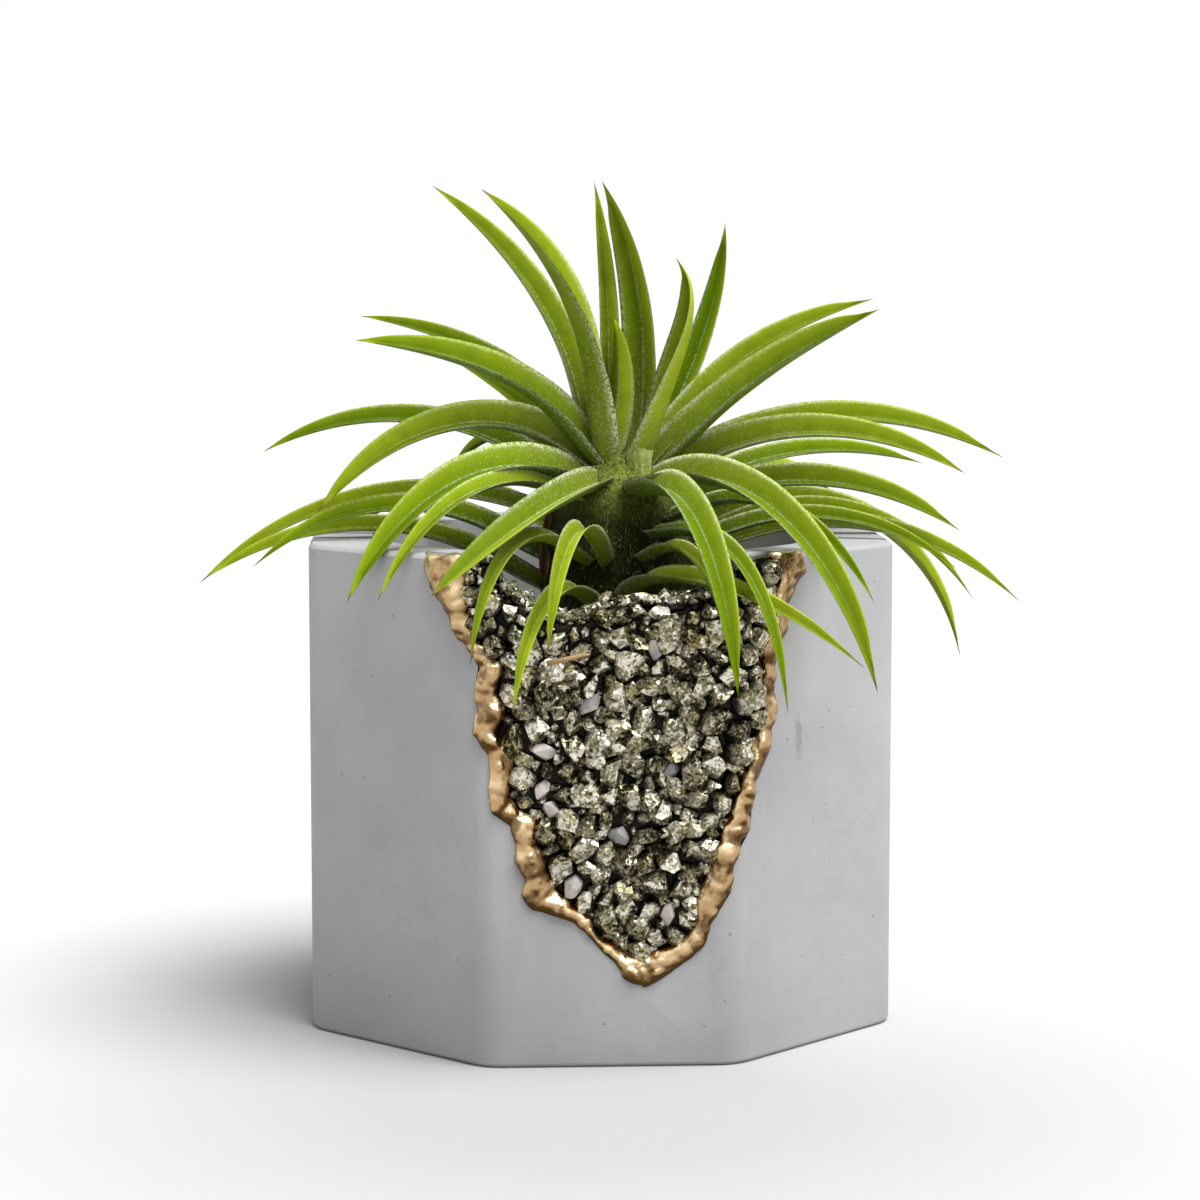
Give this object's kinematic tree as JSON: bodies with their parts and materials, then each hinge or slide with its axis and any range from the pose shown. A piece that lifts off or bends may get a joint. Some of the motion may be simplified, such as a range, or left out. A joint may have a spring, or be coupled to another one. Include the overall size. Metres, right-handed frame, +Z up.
{
  "type": "geode planter",
  "caption": "Small octagonal concrete planter with a gilded recess of crushed metallic stone in its front and a loose air plant in its cavity.",
  "frame": {"origin": "centre of the pot's underside, on the surface that it stands on", "axes": "+Z up, the geode recess faces -Y, +X to the right as seen from the front"},
  "size_m": [0.1103, 0.1067, 0.1104],
  "materials": {
    "concrete": "matte",
    "resin": "gloss",
    "pyrite": "satin",
    "quartz": "satin",
    "gilding": "satin",
    "bulb": "matte",
    "leaf": "satin",
    "young_leaf": "satin",
    "dry_leaf": "matte",
    "root": "matte"
  },
  "bodies": {
    "pot": {"pot": "concrete", "resin_bed": "resin", "pyrite_upper": "pyrite", "pyrite_middle": "pyrite", "pyrite_lower": "pyrite", "pyrite_lip": "pyrite", "quartz_stones": "quartz", "gold_left": "gilding", "gold_tip": "gilding", "gold_right": "gilding", "gold_lip": "gilding"},
    "plant": {"plant_core": "bulb", "roots": "root", "dry_leaf": "dry_leaf", "crown_leaf_1": "leaf", "crown_leaf_2": "leaf", "crown_leaf_3": "leaf", "crown_leaf_4": "leaf", "crown_leaf_5": "young_leaf", "crown_leaf_6": "leaf", "crown_leaf_7": "leaf", "crown_leaf_8": "leaf", "crown_leaf_9": "leaf", "crown_leaf_10": "leaf", "right_leaf_1": "leaf", "right_leaf_2": "leaf", "right_leaf_3": "leaf", "right_leaf_4": "leaf", "right_leaf_5": "young_leaf", "right_leaf_6": "young_leaf", "right_leaf_7": "young_leaf", "right_leaf_8": "leaf", "front_leaf_1": "leaf", "front_leaf_2": "leaf", "front_leaf_3": "young_leaf", "front_leaf_4": "leaf", "front_leaf_5": "leaf", "front_leaf_6": "leaf", "front_leaf_7": "young_leaf", "front_leaf_8": "young_leaf", "front_leaf_9": "leaf", "front_leaf_10": "leaf", "left_leaf_1": "leaf", "left_leaf_2": "leaf", "left_leaf_3": "young_leaf", "left_leaf_4": "young_leaf", "left_leaf_5": "leaf", "left_leaf_6": "leaf", "left_leaf_7": "leaf", "left_leaf_8": "leaf", "left_leaf_9": "leaf", "left_leaf_10": "leaf", "left_leaf_11": "leaf", "back_leaf_1": "leaf", "back_leaf_2": "leaf", "back_leaf_3": "leaf", "back_leaf_4": "leaf", "back_leaf_5": "leaf", "back_leaf_6": "leaf"}
  },
  "joints": [
    {"name": "plant_lift", "type": "slide", "parent": "pot", "child": "plant", "axis": [0, 0, 1], "range_m": [0, 0.12]}
  ]
}
